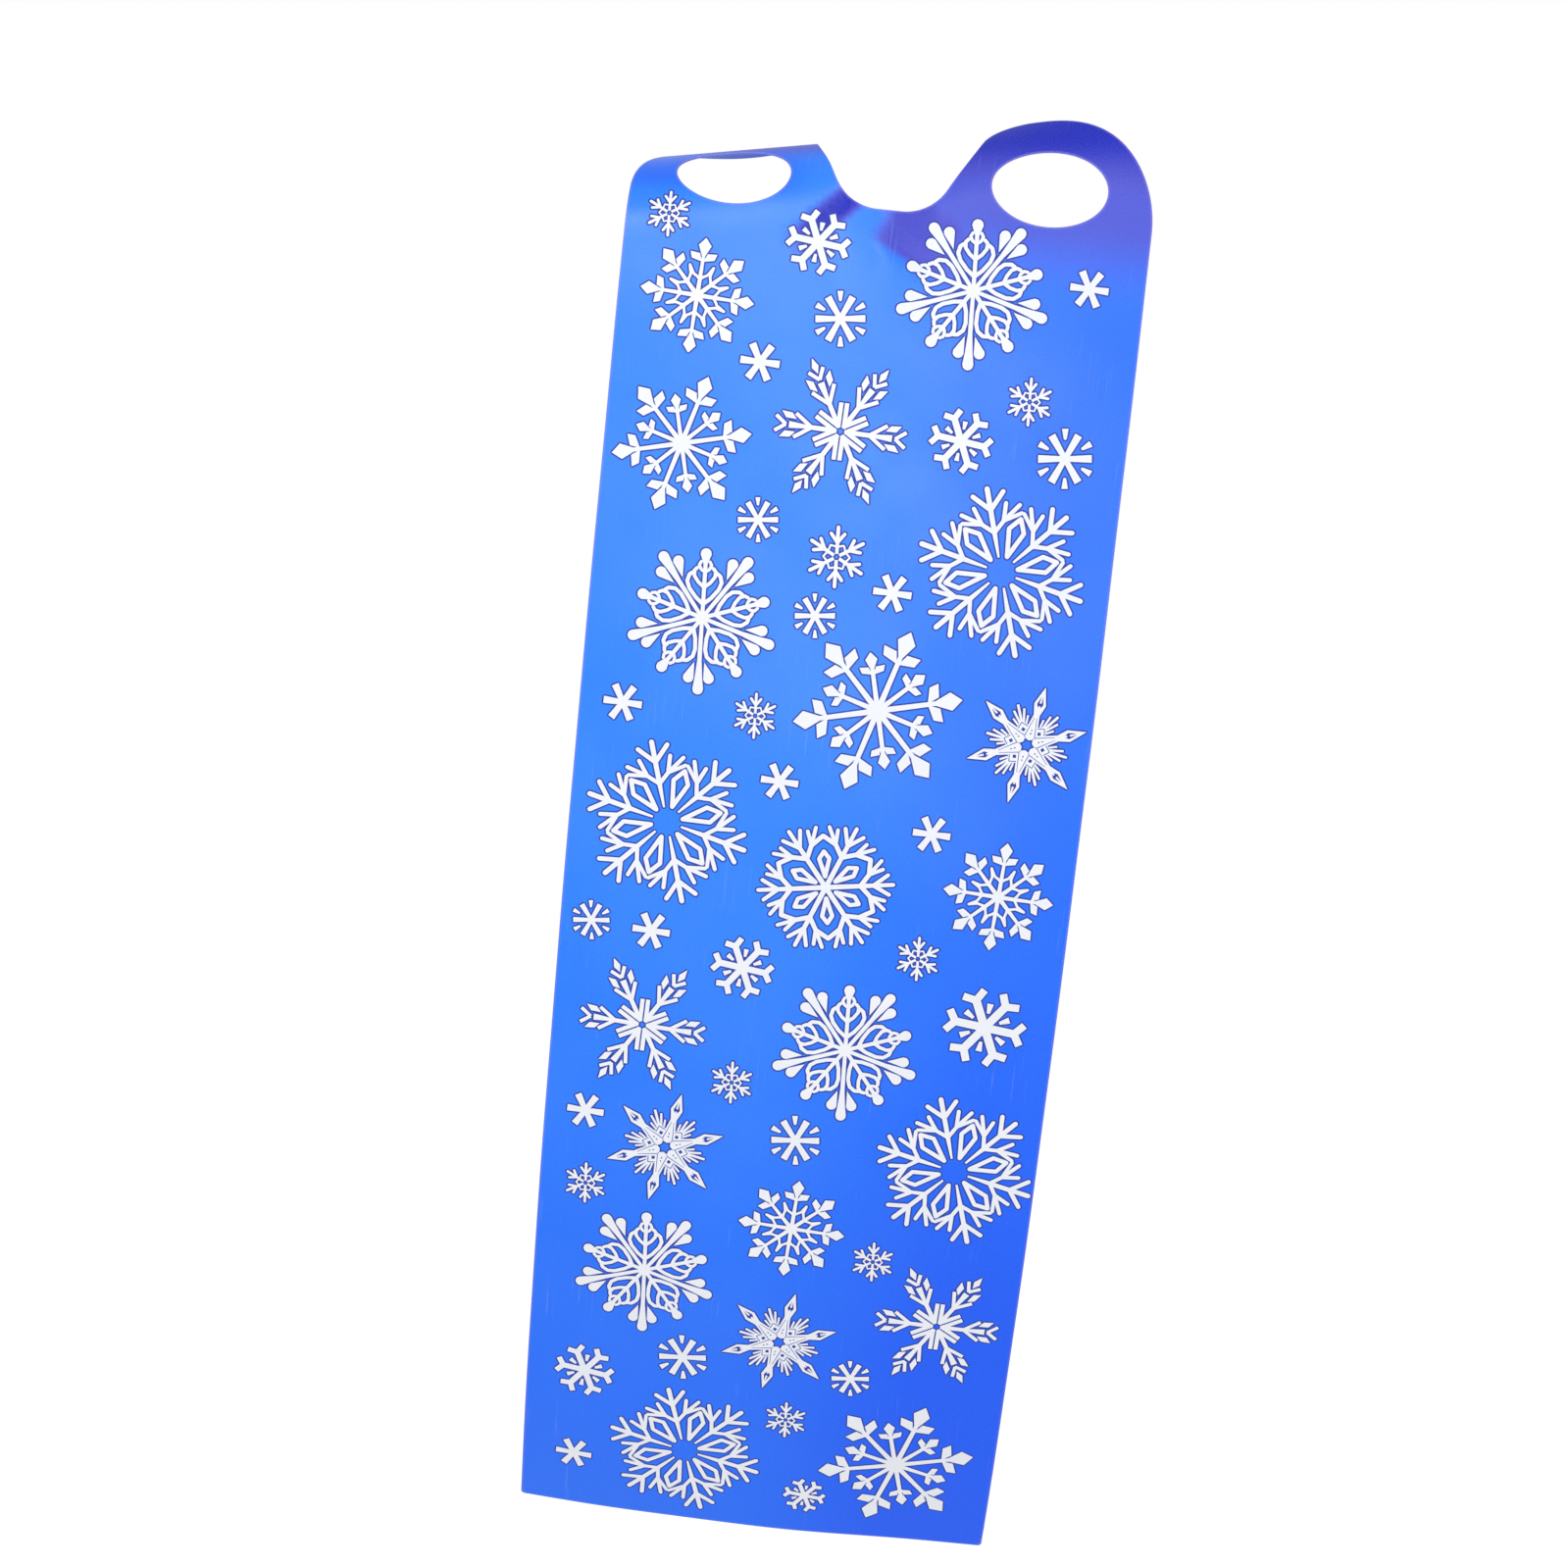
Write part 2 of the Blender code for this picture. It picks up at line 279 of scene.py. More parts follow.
def inside(loop, points):
    """Which of the points lie inside a closed loop."""
    found = np.zeros(len(points), bool)
    for start, end in zip(loop, np.roll(loop, -1, axis=0)):
        if start[1] == end[1]:
            continue
        spans = (start[1] > points[:, 1]) != (end[1] > points[:, 1])
        crossing = start[0] + (points[:, 1] - start[1]) * (end[0] - start[0]) / (end[1] - start[1])
        found ^= spans & (points[:, 0] < crossing)
    return found


def in_the_plastic(points):
    return inside(cut_edge, points) & ~inside(hole_edges[0], points) & ~inside(hole_edges[1], points)


def from_cut_edge(points):
    """The distance of each point from the nearest cut edge, in the flat sheet."""
    nearest = np.full(len(points), np.inf)
    for loop in cut_loops:
        for start, end in zip(loop, np.roll(loop, -1, axis=0)):
            run = end - start
            length = run.dot(run)
            if length < no_area:
                continue
            share = np.clip((points - start).dot(run) / length, 0, 1)
            nearest = np.minimum(nearest, np.linalg.norm(points - start - share[:, None] * run, axis=1))
    return nearest


# The print: white snowflakes of eleven kinds, screen-printed on the front, each with a thin dark
# blue line round it. Every kind is drawn once, as strokes on an arm that is repeated round its
# centre, and it always stands in the same turn. Sizes are shares of the flake's own radius.


def bar(start, end, start_half_width, end_half_width, round_end=False):
    """One stroke, with its half widths at both ends, and either a straight or a round end."""
    start, end = np.array(start, float), np.array(end, float)
    along = (end - start) / np.linalg.norm(end - start)
    left = np.array((-along[1], along[0]))
    shape = [start - left * start_half_width]
    for angle in np.radians((-90, -45, 0, 45, 90) if round_end else (-90, 90)):
        shape.append(end + end_half_width * (along * math.cos(angle) * round_end + left * math.sin(angle)))
    shape.append(start + left * start_half_width)
    return shape


def drop(tip, centre, radius):
    """A drop with its point at tip and its round end about centre."""
    tip, centre = np.array(tip, float), np.array(centre, float)
    along = (centre - tip) / np.linalg.norm(centre - tip)
    left = np.array((-along[1], along[0]))
    round_end = [
        centre + radius * (along * math.cos(angle) + left * math.sin(angle))
        for angle in np.radians((-95, -60, -30, 0, 30, 60, 95))
    ]
    return [tip] + round_end


def line(points, half_width_of_line):
    """A bent stroke through the points, with round ends."""
    half = half_width_of_line
    return [bar(start, end, half, half, True) for start, end in zip(points, points[1:])]


def both_sides(shapes):
    """The shapes and their mirror images on the other side of the arm."""
    return shapes + [[(x, -y) for x, y in reversed(shape)] for shape in shapes]


def repeated(arm, count, turn):
    """An arm's shapes, repeated round the centre of the flake."""
    shapes = []
    for number in range(count):
        angle = math.radians(turn + 360 * number / count)
        cosine, sine = math.cos(angle), math.sin(angle)
        for shape in arm:
            shapes.append([(x * cosine - y * sine, x * sine + y * cosine) for x, y in shape])
    return shapes


def stub_star():
    return repeated([bar((0, 0), (1, 0), 0.135, 0.19)], 6, -8), []


def dash_star():
    bars = repeated([bar((0, 0), (0.90, 0), 0.085, 0.13)], 6, 0)
    return bars + repeated([bar((1, 0), (0.68, 0), 0.11, 0.055, True)], 6, 30), []


def forked_star():
    fork = bar((0.68, 0), (0.86, 0.25), 0.086, 0.086)
    arm = [bar((0, 0), (0.74, 0), 0.094, 0.094)] + both_sides([fork])
    return repeated(arm, 6, -13.5) + repeated([bar((0.345, 0), (0.58, 0), 0.035, 0.075)], 6, 17), []


def petal_star():
    twig = bar((0.46, 0), (0.75, 0.22), 0.055, 0.055, True)
    petal = line([(0.33, 0), (0.375, 0.217)], 0.032)
    arm = [bar((0.10, 0), (0.96, 0), 0.055, 0.060, True)] + both_sides([twig] + petal)
    return repeated(arm, 6, 26), []


def diamond_tip(start, scale):
    """The cluster of three diamonds at the end of an arm, of which the middle one is the longest."""
    side = [(0.008, 0.010), (0.150, 0.070), (0.164, 0.236), (0.051, 0.200)]
    middle = [(0.080, -0.018), (0.290, -0.112), (0.425, 0), (0.290, 0.112), (0.080, 0.018)]
    placed = both_sides([side]) + [middle]
    return [[(start + x * scale, y * scale) for x, y in shape] for shape in placed]


def diamond_star():
    web = line([(0.28, 0), (0.325, 0.057), (0.365, 0.125), (0.502, 0.208)], 0.023)
    arm = [bar((0, 0), (0.70, 0), 0.040, 0.026)] + both_sides(web) + diamond_tip(0.575, 1.0)
    return repeated(arm, 8, -9.3), []


def twelve_arm_star():
    long_arm = [bar((0, 0), (0.70, 0), 0.034, 0.027)] + diamond_tip(0.585, 0.98)
    short_arm = [bar((0, 0), (0.50, 0), 0.030, 0.024)] + diamond_tip(0.425, 0.64)
    hub = [[(0.105 * math.cos(angle), 0.105 * math.sin(angle)) for angle in np.radians(range(0, 360, 30))]]
    return hub + repeated(long_arm, 6, 7.2) + repeated(short_arm, 6, 37.2), []


def feather_star():
    prong = bar((0.37, 0), (0.590, 0.153), 0.024, 0.025)
    leaf = [(0.574, 0.080), (0.711, 0.084), (0.775, 0.168), (0.638, 0.156)]
    chevron = bar((0.705, 0), (0.842, 0.100), 0.023, 0.024)
    wing = bar((0.062, -0.0075), (0.336, 0.1505), 0.028, 0.028)
    arm = [bar((0.05, 0), (0.40, 0), 0.030, 0.030), bar((0.40, 0), (0.665, 0), 0.020, 0.044)]
    arm += both_sides([prong, leaf, chevron, wing])
    tip = [(0.785, 0), (0.880, -0.046), (1.0, 0), (0.880, 0.046)]
    ends = repeated([tip], 2, 51.5) + repeated([tip], 2, 111.5)
    between_wings = bar((0.045, 0), (0.38, 0), 0.007, 0.009)
    return repeated(arm, 6, -8) + ends, (repeated([between_wings], 6, 22), [])


def looped_star():
    lowest = [(0.175, 0), (0.26, 0.100), (0.37, 0.188), (0.46, 0.222), (0.545, 0.200), (0.575, 0.160)]
    leaves = line(lowest, 0.025)
    leaves += line([(0.39, 0), (0.455, 0.078), (0.53, 0.132), (0.60, 0.138), (0.638, 0.104)], 0.023)
    leaves += line([(0.585, 0), (0.622, 0.054), (0.675, 0.080), (0.720, 0.056)], 0.020)
    looped = [bar((0, 0), (0.70, 0), 0.026, 0.026), drop((0.62, 0), (0.822, 0), 0.072)] + both_sides(leaves)
    side_drop = drop((0.570, 0.064), (0.778, 0.132), 0.070)
    plain = [bar((0, 0), (0.60, 0), 0.024, 0.029), drop((0.45, 0), (0.925, 0), 0.070)]
    plain += [bar((0.55, 0), (0.90, 0), 0.028, 0.060)] + both_sides([side_drop])
    return repeated(looped, 5, 86) + repeated(plain, 5, 50), []


def branched_star():
    side = line([(0.46, 0), (0.580, 0.131)], 0.024)
    side += line([(0.575, 0.125), (0.77, 0.186)], 0.024) + line([(0.575, 0.125), (0.72, 0.337)], 0.024)
    side += line([(0.575, 0.125), (0.625, 0.344)], 0.022) + line([(0.72, 0), (0.905, 0.176)], 0.027)
    arm = [bar((0.175, 0), (0.46, 0), 0.012, 0.028), bar((0.45, 0), (0.965, 0), 0.028, 0.030, True)]
    ring = line([(0.19, 0), (0.50, 0.090), (0.645, 0), (0.50, -0.090), (0.19, 0)], 0.026)
    return repeated(arm + both_sides(side), 6, -20) + repeated(ring, 6, 10), []


def rim_star():
    node = (0.620, 0.160)
    side = line([(0.49, 0), node, (0.650, 0.375)], 0.033)
    side += line([node, (0.820, 0.228)], 0.027) + line([node, (0.805, 0.355)], 0.027)
    side += line([(0.67, 0), (0.888, 0.143)], 0.028)
    arm = [bar((0, 0), (0.66, 0), 0.036, 0.032), bar((0.60, 0), (0.955, 0), 0.030, 0.028, True)]
    petal = line([(0.16, 0), (0.42, 0.072), (0.525, 0), (0.42, -0.072), (0.16, 0)], 0.030)
    return repeated(arm + both_sides(side), 6, 2.6) + repeated(petal, 6, 32.6), []


def spear_star():
    spear = [
        [(0.085, 0), (0.113, -0.065), (0.32, -0.085), (0.32, 0.085), (0.113, 0.065)],
        [(0.32, -0.085), (0.52, -0.050), (0.52, 0.050), (0.32, 0.085)],
        [(0.52, -0.050), (0.70, -0.099), (1.0, 0), (0.70, 0.099), (0.52, 0.050)],
    ]
    box = [[(0.15, 0), (0.29, -0.128), (0.43, 0), (0.29, 0.128)]]
    fan = [bar((0.40, 0), (0.69, 0), 0.021, 0.021)]
    fan += both_sides([
        bar((0.38, 0.03), (0.605, 0.087), 0.018, 0.018),
        bar((0.36, 0.07), (0.482, 0.125), 0.016, 0.016),
    ])
    whites = repeated(spear, 6, 12.5) + repeated(box + fan, 6, 42.5)
    window = [[(0.232, 0), (0.270, -0.038), (0.308, 0), (0.270, 0.038)]]
    box_line = both_sides([bar((0.305, 0.082), (0.392, 0), 0.007, 0.007)])
    spear_line = both_sides([bar((0.150, 0.084), (0.470, 0.020), 0.007, 0.004)])
    dots = [bar((0.185, 0), (0.215, 0), 0.009, 0.009), bar((0.245, 0), (0.275, 0), 0.008, 0.008)]
    slot_in_tip = [[(0.61, 0), (0.70, -0.053), (0.88, 0), (0.70, 0.053)]]
    marks = repeated(slot_in_tip + spear_line + dots, 6, 12.5) + repeated(window + box_line, 6, 42.5)
    ribs = [bar((0.60, 0), (0.675, 0), 0.020, 0.013), bar((0.72, 0), (0.89, 0), 0.016, 0.010)]
    return whites, (marks, repeated(ribs, 6, 12.5))


# Where each flake's centre stands in the picture, in pixels, and how wide it is there.
flakes = (
    (stub_star, ((1111, 295, 40), (775, 369, 41), (910, 605, 40), (635, 716, 40), (795, 797, 39),
                 (950, 851, 39), (664, 949, 39), (597, 1132, 38), (585, 1481, 37))),
    (dash_star, ((857, 325, 52), (1086, 468, 56), (773, 530, 42), (831, 628, 42), (603, 938, 38),
                 (811, 1163, 50), (696, 1384, 49), (867, 1406, 39))),
    (forked_star, ((834.5, 247, 67.5), (980, 450, 67), (757, 987, 66), (1004, 1048, 86), (596, 1397, 62),
                   (820, 1525, 44))),
    (petal_star, ((682.5, 217, 43.5), (1050, 410, 45), (853, 568, 58), (770, 730, 43), (936, 978, 43),
                  (746, 1104, 42), (597, 1206, 41), (890, 1287, 41), (801, 1448, 41))),
    (diamond_star, ((711, 301, 116), (1018, 915, 112), (807, 1253, 108))),
    (twelve_arm_star, ((695, 452, 143), (895, 725, 173), (913, 1494, 158))),
    (feather_star, ((857, 440, 137), (655, 1045, 130), (955, 1353, 127))),
    (looped_star, ((992.5, 296.5, 154), (716, 630, 150), (862, 1071, 146), (657, 1295, 140))),
    (branched_star, ((1021, 584, 167), (680, 838, 162), (973, 1195, 156), (698, 1479, 150))),
    (rim_star, ((842, 905, 142),)),
    (spear_star, ((1047, 760, 122), (678, 1170, 120), (794, 1369, 118))),
)
dark_line_width = 0.0012
merge_distance = 0.00002

# The first guess of a flake's place counts from this pixel, which lies near the notch, and is bettered
# in rounds. The turn of the picture is read near its middle.
notch_pixel, metres_per_pixel = (880, 150), (0.00075, 0.00078)
rounds, probe = 12, 0.001
middle_pixel = (850, 800)
reach_share, reach_margin = 1.25, 0.002


def flat_place_of(pixel):
    """The point of the flat sheet that shows at a pixel, and how the picture changes around it."""
    place = np.array((pixel[0] - notch_pixel[0], notch_pixel[1] - pixel[1])) * metres_per_pixel
    for _ in range(rounds):
        near = place + np.array(((0, 0), (probe, 0), (0, probe)))
        seen = in_picture(sheet_place(near, sheet_thickness))
        change = np.column_stack((seen[1] - seen[0], seen[2] - seen[0])) / probe
        place = place + np.linalg.solve(change, np.array(pixel) - seen[0])
    return place, change


def grown(shape, margin):
    """A shape with every side moved outwards, and its corners cut across."""
    moved = []
    for before, point, after in zip(np.roll(shape, 1, axis=0), shape, np.roll(shape, -1, axis=0)):
        for run in (point - before, after - point):
            length = np.linalg.norm(run)
            if length > no_length:
                moved.append(point + np.array((run[1], -run[0])) / length * margin)
    return np.array(moved)


def covered(shape, points):
    """Which points lie in a convex shape whose corners run counter-clockwise."""
    found = np.ones(len(points), bool)
    for start, end in zip(shape, np.roll(shape, -1, axis=0)):
        run = end - start
        found &= run[0] * (points[:, 1] - start[1]) - run[1] * (points[:, 0] - start[0]) >= -no_area
    return found


PLASTIC, WHITE_INK, DARK_INK = 0, 1, 2


def ink_at(layers, points):
    """The ink of one flake on each of the points, of which the last layer laid down shows."""
    ink = np.full(len(points), PLASTIC)
    for shapes, kind in layers:
        for shape in shapes:
            low, high = shape.min(axis=0), shape.max(axis=0)
            near = np.flatnonzero(((points >= low) & (points <= high)).all(axis=1))
            if len(near):
                ink[near[covered(shape, points[near])]] = kind
    return ink


def flake_edges(layers):
    """The lines between the inks of one flake, as pairs of points."""
    corners, edges = [], []
    for shapes, _ in layers:
        for shape in shapes:
            first, count = len(corners), len(shape)
            corners += [Vector(corner) for corner in shape]
            edges += [(first + index, first + (index + 1) % count) for index in range(count)]
    points, _, faces, *_ = delaunay_2d_cdt(corners, edges, [], 0, merge_distance)
    points = np.array([point[:] for point in points])
    faces = np.array(faces)
    ink = ink_at(layers, points[faces].mean(axis=1))
    beside = {}
    for face, kind in zip(faces.tolist(), ink.tolist()):
        for a, b in zip(face, face[1:] + face[:1]):
            beside.setdefault((min(a, b), max(a, b)), []).append(kind)
    kept = [
        pair for pair, kinds in beside.items()
        if len(set(kinds)) > 1 or (len(kinds) == 1 and kinds[0] != PLASTIC)
    ]
    return [(points[a], points[b]) for a, b in kept]


middle_change = flat_place_of(middle_pixel)[1]
picture_turn = math.atan2(-middle_change[1, 0], middle_change[0, 0])
cosine, sine = math.cos(-picture_turn), math.sin(-picture_turn)
turned = np.array(((cosine, sine), (-sine, cosine)))

printed = []
for draw, places in flakes:
    drawn = draw()
    whites, marks = drawn[0], drawn[1] or ([], [])
    outer = np.array([corner for shape in whites for corner in shape])
    for across_at, down_at, width in places:
        centre, change = flat_place_of((across_at, down_at))
        size = width / np.linalg.norm(change[:, 0]) / np.ptp(outer[:, 0])
        placed = [[np.array(shape) @ turned * size + centre for shape in group] for group in (whites, *marks)]
        layers = (
            ([grown(shape, dark_line_width) for shape in placed[0]], DARK_INK),
            (placed[0], WHITE_INK), (placed[1], DARK_INK), (placed[2], WHITE_INK),
        )
        printed.append((centre, size * reach_share + reach_margin, layers))


# The skin of the sheet: both faces are divided along the outline, the seams between its pieces and, on the
# front, the edges of the print, so the ink lies flush in the plastic and follows its curl. The strips
# are as long as the model's, and the skin's seams run along the middle of each.
strip_count = 36
grip_length_below_notch = 0.0600
strip_pitch = (length_below_notch - grip_length_below_notch) / strip_count
grip_piece_ends_below = 0.045
rows_per_strip, column_gap, lobe_grid = 6, 0.0100, 0.0045
least_side_column, past_the_side, near_seam = 0.001, 0.005, 0.0016
right_seam_slant = math.atan(0.0895)
seams_below = [grip_piece_ends_below]
seams_below += [grip_length_below_notch + (number + 0.5) * strip_pitch for number in range(strip_count)]
beyond = half_width + past_the_side
seam_corner = notch_flat_half_width
columns = np.arange(-half_width + column_gap, half_width - least_side_column, column_gap)


def lobe_seam_at(side, from_middle):
    """How far above the notch's bottom the seam of a lobe runs."""
    slant = left_curl_slant if side < 0 else right_seam_slant
    return -(np.abs(from_middle) - seam_corner) * math.tan(slant)


grid = [
    (column, -above - (below - above) * row / rows_per_strip)
    for above, below in zip(seams_below, seams_below[1:] + [length_below_notch])
    for row in range(1, rows_per_strip)
    for column in columns
]
lobe_columns = np.arange(-half_width + lobe_grid / 2, half_width, lobe_grid)
for above in np.arange(-grip_piece_ends_below + lobe_grid, lobe_height, lobe_grid):
    for column in lobe_columns:
        if min(abs(above - lobe_seam_at(side, column)) for side in (-1, 1)) > near_seam:
            grid.append((column, above))


def divided(lines):
    """The flat sheet in triangles, along its cut edges, its seams and the given lines."""
    corners, edges = [], []

    def add(points, closed):
        first = len(corners)
        corners.extend(Vector(point) for point in points)
        edges.extend((first + index, first + index + 1) for index in range(len(points) - 1))
        if closed:
            edges.append((len(corners) - 1, first))

    for loop in cut_loops:
        add(loop, True)
    for below in seams_below:
        add([(column, -below) for column in (-beyond, *columns, beyond)], False)
    for side in (-1, 1):
        seam_columns = np.arange(seam_corner, beyond, lobe_grid)
        add([(side * column, lobe_seam_at(side, column)) for column in (*seam_columns, beyond)], False)
    corners.extend(Vector(point) for point in grid)
    for pair in lines:
        add(pair, False)
    points, _, faces, *_ = delaunay_2d_cdt(corners, edges, [], 0, merge_distance)
    points = np.array([point[:] for point in points])
    faces = np.array(faces)
    middles = points[faces].mean(axis=1)
    kept = in_the_plastic(middles)
    return points, faces[kept], middles[kept]


front_points, front_faces, front_middles = divided(
    [pair for _, _, layers in printed for pair in flake_edges(layers)]
)
back_points, back_faces, back_middles = divided([])

front_ink = np.full(len(front_faces), PLASTIC)
for centre, reach, layers in printed:
    near = np.flatnonzero(np.linalg.norm(front_middles - centre, axis=1) < reach)
    ink = ink_at(layers, front_middles[near])
    front_ink[near] = np.where(ink == PLASTIC, front_ink[near], ink)

LEFT_LOBE, RIGHT_LOBE, GRIP = -3, -2, -1


def piece_of(middles):
    """The number of the piece that each triangle belongs to: the lobes, the grip, or a piece of the rolling
    length below it.
    """
    from_middle, above = middles.T
    number = np.searchsorted(seams_below, -above) - 1
    number = np.where(number < 0, GRIP, number)
    for side, lobe in ((-1, LEFT_LOBE), (1, RIGHT_LOBE)):
        on_lobe = (side * from_middle > seam_corner) & (above > lobe_seam_at(side, from_middle))
        number = np.where(on_lobe, lobe, number)
    return number


front_piece, back_piece = piece_of(front_middles), piece_of(back_middles)


def cut_edges_of(faces):
    """The edges of triangles that lie on a cut edge, with the plastic on their left."""
    pairs = np.concatenate([faces[:, (0, 1)], faces[:, (1, 2)], faces[:, (2, 0)]])
    owner = np.tile(np.arange(len(faces)), 3)
    keys = np.sort(pairs, axis=1)
    _, first, count = np.unique(keys, axis=0, return_index=True, return_counts=True)
    single = first[count == 1]
    return pairs[single], owner[single]


rim_pairs, rim_owner = cut_edges_of(back_faces)
rim_out = np.zeros_like(back_points)
for a, b in rim_pairs:
    run = back_points[b] - back_points[a]
    outward = np.array((run[1], -run[0])) / max(np.linalg.norm(run), no_length)
    rim_out[a] += outward
    rim_out[b] += outward
rim_out /= np.maximum(np.linalg.norm(rim_out, axis=1), no_length)[:, None]

# The cut edge from front to back: the die leaves it slightly rounded
rim_bulge_height = 0.00016
rim_depths = np.array((1.0, 0.86, 0.5, 0.14, 0.0)) * sheet_thickness
rim_bulge = np.array((0.0, 0.85, 1.0, 0.85, 0.0)) * rim_bulge_height
rim_lean = np.array((1.0, 0.5, 0.0, -0.5, -1.0))


# The plastic and its inks: mass-coloured blue polyethylene with the fine grain of the chill roll,
# satin on the print side. Handling has paled it along the cut edges and left faint scuffs that run
# down the sheet. The screen inks lie on it as matt films, and the die leaves a pale cut face.
edge_wear_width = 0.0018
worn_edge = (0.240, 0.220, 0.700)
pale_level, pale_share = 0.80, 0.40

# Noise scales count per metre of the flat sheet. Each range is the stretch of its noise that shows.
cloud_scale, cloud_range = 9.0, (0.35, 0.68)
fine_scale, coarse_scale = 1500.0, 620.0
speckle_range, wear_range = (0.35, 0.70), (0.35, 0.75)
scuff_scale, scuff_range = (420.0, 14.0, 1.0), (0.60, 0.72)
patch_scale, scuffed_patch_range, gloss_patch_range = 16.0, (0.52, 0.70), (0.3, 0.7)
smoother, rougher, rougher_in_scuffs = 0.04, 0.05, 0.14
fine_bump, coarse_bump, coarse_grain_share = 0.00008, 0.00015, 0.5


def finish_of(name, colour, paler, roughness, grain, scuffs, edge_wear, speckle=0.0, specular=0.3, painted_shades=()):
    """A finish with cloudy colour, fine grain, long scuffs and plastic bruised by the die at the edges, with
    painted shade laid over its colour where the named attributes say.
    """
    material = bpy.data.materials.new(name)
    material.use_nodes = True
    tree = material.node_tree
    shader = tree.nodes["Principled BSDF"]
    shader.inputs["Specular IOR Level"].default_value = specular
    material.diffuse_color = (*colour, 1)

    def node(kind, inputs=(), **settings):
        made = tree.nodes.new(kind)
        for setting, value in settings.items():
            setattr(made, setting, value)
        for socket, value in dict(inputs).items():
            if isinstance(value, bpy.types.NodeSocket):
                tree.links.new(value, made.inputs[socket])
            else:
                made.inputs[socket].default_value = value
        return made

    def mix(factor, first, second):
        return node("ShaderNodeMix", {0: factor, 6: first, 7: second}, data_type="RGBA").outputs[2]

    def spread(value, shown, to_low, to_high):
        limits = {"From Min": shown[0], "From Max": shown[1], "To Min": to_low, "To Max": to_high}
        return node("ShaderNodeMapRange", {"Value": value, **limits}).outputs[0]

    def noise(vector, scale, detail):
        return node("ShaderNodeTexNoise", {"Vector": vector, "Scale": scale, "Detail": detail}).outputs[0]

    def sum_of(first, second):
        return node("ShaderNodeMath", {0: first, 1: second}, operation="ADD").outputs[0]

    def product_of(first, second):
        return node("ShaderNodeMath", {0: first, 1: second}, operation="MULTIPLY").outputs[0]

    place = node("ShaderNodeAttribute", attribute_name="flat_place").outputs["Vector"]
    from_edge = node("ShaderNodeAttribute", attribute_name="from_edge").outputs["Fac"]
    edge = spread(from_edge, (0.0, edge_wear_width), 1.0, 0.0)
    clouds, patches = noise(place, cloud_scale, 4.0), noise(place, patch_scale, 2.0)
    fine, coarse = noise(place, fine_scale, 3.0), noise(place, coarse_scale, 2.0)
    long_way = node("ShaderNodeMapping", {"Vector": place, "Scale": scuff_scale}).outputs[0]
    streak = spread(noise(long_way, 1.0, 3.0), scuff_range, 0.0, 1.0)
    scuff = product_of(streak, spread(patches, scuffed_patch_range, 0.0, scuffs))

    colour_now = mix(spread(clouds, cloud_range, 0.0, 1.0), (*colour, 1), (*paler, 1))
    rough = spread(patches, gloss_patch_range, roughness - smoother, roughness + rougher)
    rough = sum_of(rough, spread(scuff, (0.0, 1.0), 0.0, rougher_in_scuffs))
    # Painted shade: each stored share mixes in a shaded colour of the plastic, and roughens it a little.
    for attribute, shade_colour, rougher_in_shade in painted_shades:
        share = node("ShaderNodeAttribute", attribute_name=attribute).outputs["Fac"]
        colour_now = mix(share, colour_now, (*shade_colour, 1))
        rough = sum_of(rough, spread(share, (0.0, 1.0), 0.0, rougher_in_shade))
    pale_colour = (*[channel + (pale_level - channel) * pale_share for channel in colour], 1)
    colour_now = mix(spread(coarse, speckle_range, 0.0, speckle), colour_now, pale_colour)
    colour_now = mix(scuff, colour_now, pale_colour)
    worn = product_of(edge, spread(coarse, wear_range, 0.5 * edge_wear, edge_wear))
    colour_now = mix(worn, colour_now, (*worn_edge, 1))

    bump = node("ShaderNodeBump", {"Height": fine, "Strength": grain, "Distance": fine_bump})
    bump = node("ShaderNodeBump", {"Height": coarse, "Strength": grain * coarse_grain_share,
                                   "Distance": coarse_bump, "Normal": bump.outputs[0]})
    tree.links.new(colour_now, shader.inputs["Base Color"])
    tree.links.new(rough, shader.inputs["Roughness"])
    tree.links.new(bump.outputs[0], shader.inputs["Normal"])
    return material


azure, pale_azure = (0.013, 0.203, 0.960), (0.026, 0.223, 0.970)
# Painted shade: the deep blue darkens the sheet towards its right side, its free end and the left lobe, and
# the lilac and violet blues darken the lobes and the dents.
shaded_deep_blue, shaded_lilac_blue, shaded_violet_blue = (0.001, 0.100, 0.900), (0.062, 0.068, 0.560), (0.006, 0.014, 0.450)
blue_front = finish_of(
    "blue polyethylene, print side", azure, pale_azure,
    roughness=0.37, grain=0.70, scuffs=0.20, edge_wear=0.85, speckle=0.045,
    painted_shades=(("painted_deep_shade", shaded_deep_blue, 0.0), ("lilac", shaded_lilac_blue, 0.10), ("violet", shaded_violet_blue, 0.10)),
)
white_ink = finish_of(
    "white screen ink", (0.82, 0.84, 0.88), (0.78, 0.81, 0.86),
    roughness=0.50, grain=0.25, scuffs=0.10, edge_wear=0.1, specular=0.2,
)
dark_ink = finish_of(
    "dark blue screen ink", (0.022, 0.040, 0.310), (0.030, 0.055, 0.360),
    roughness=0.48, grain=0.25, scuffs=0.10, edge_wear=0.1, specular=0.2,
)
blue_back = finish_of(
    "blue polyethylene, snow side", (0.030, 0.135, 0.640), (0.042, 0.165, 0.700),
    roughness=0.46, grain=0.40, scuffs=0.80, edge_wear=0.40, speckle=0.06,
)
cut_face = finish_of(
    "cut face of the plastic", (0.150, 0.170, 0.680), (0.190, 0.210, 0.740),
    roughness=0.55, grain=0.60, scuffs=0.30, edge_wear=0.0,
)
finishes = (blue_front, white_ink, dark_ink, blue_back, cut_face)
BACK, CUT = 3, 4
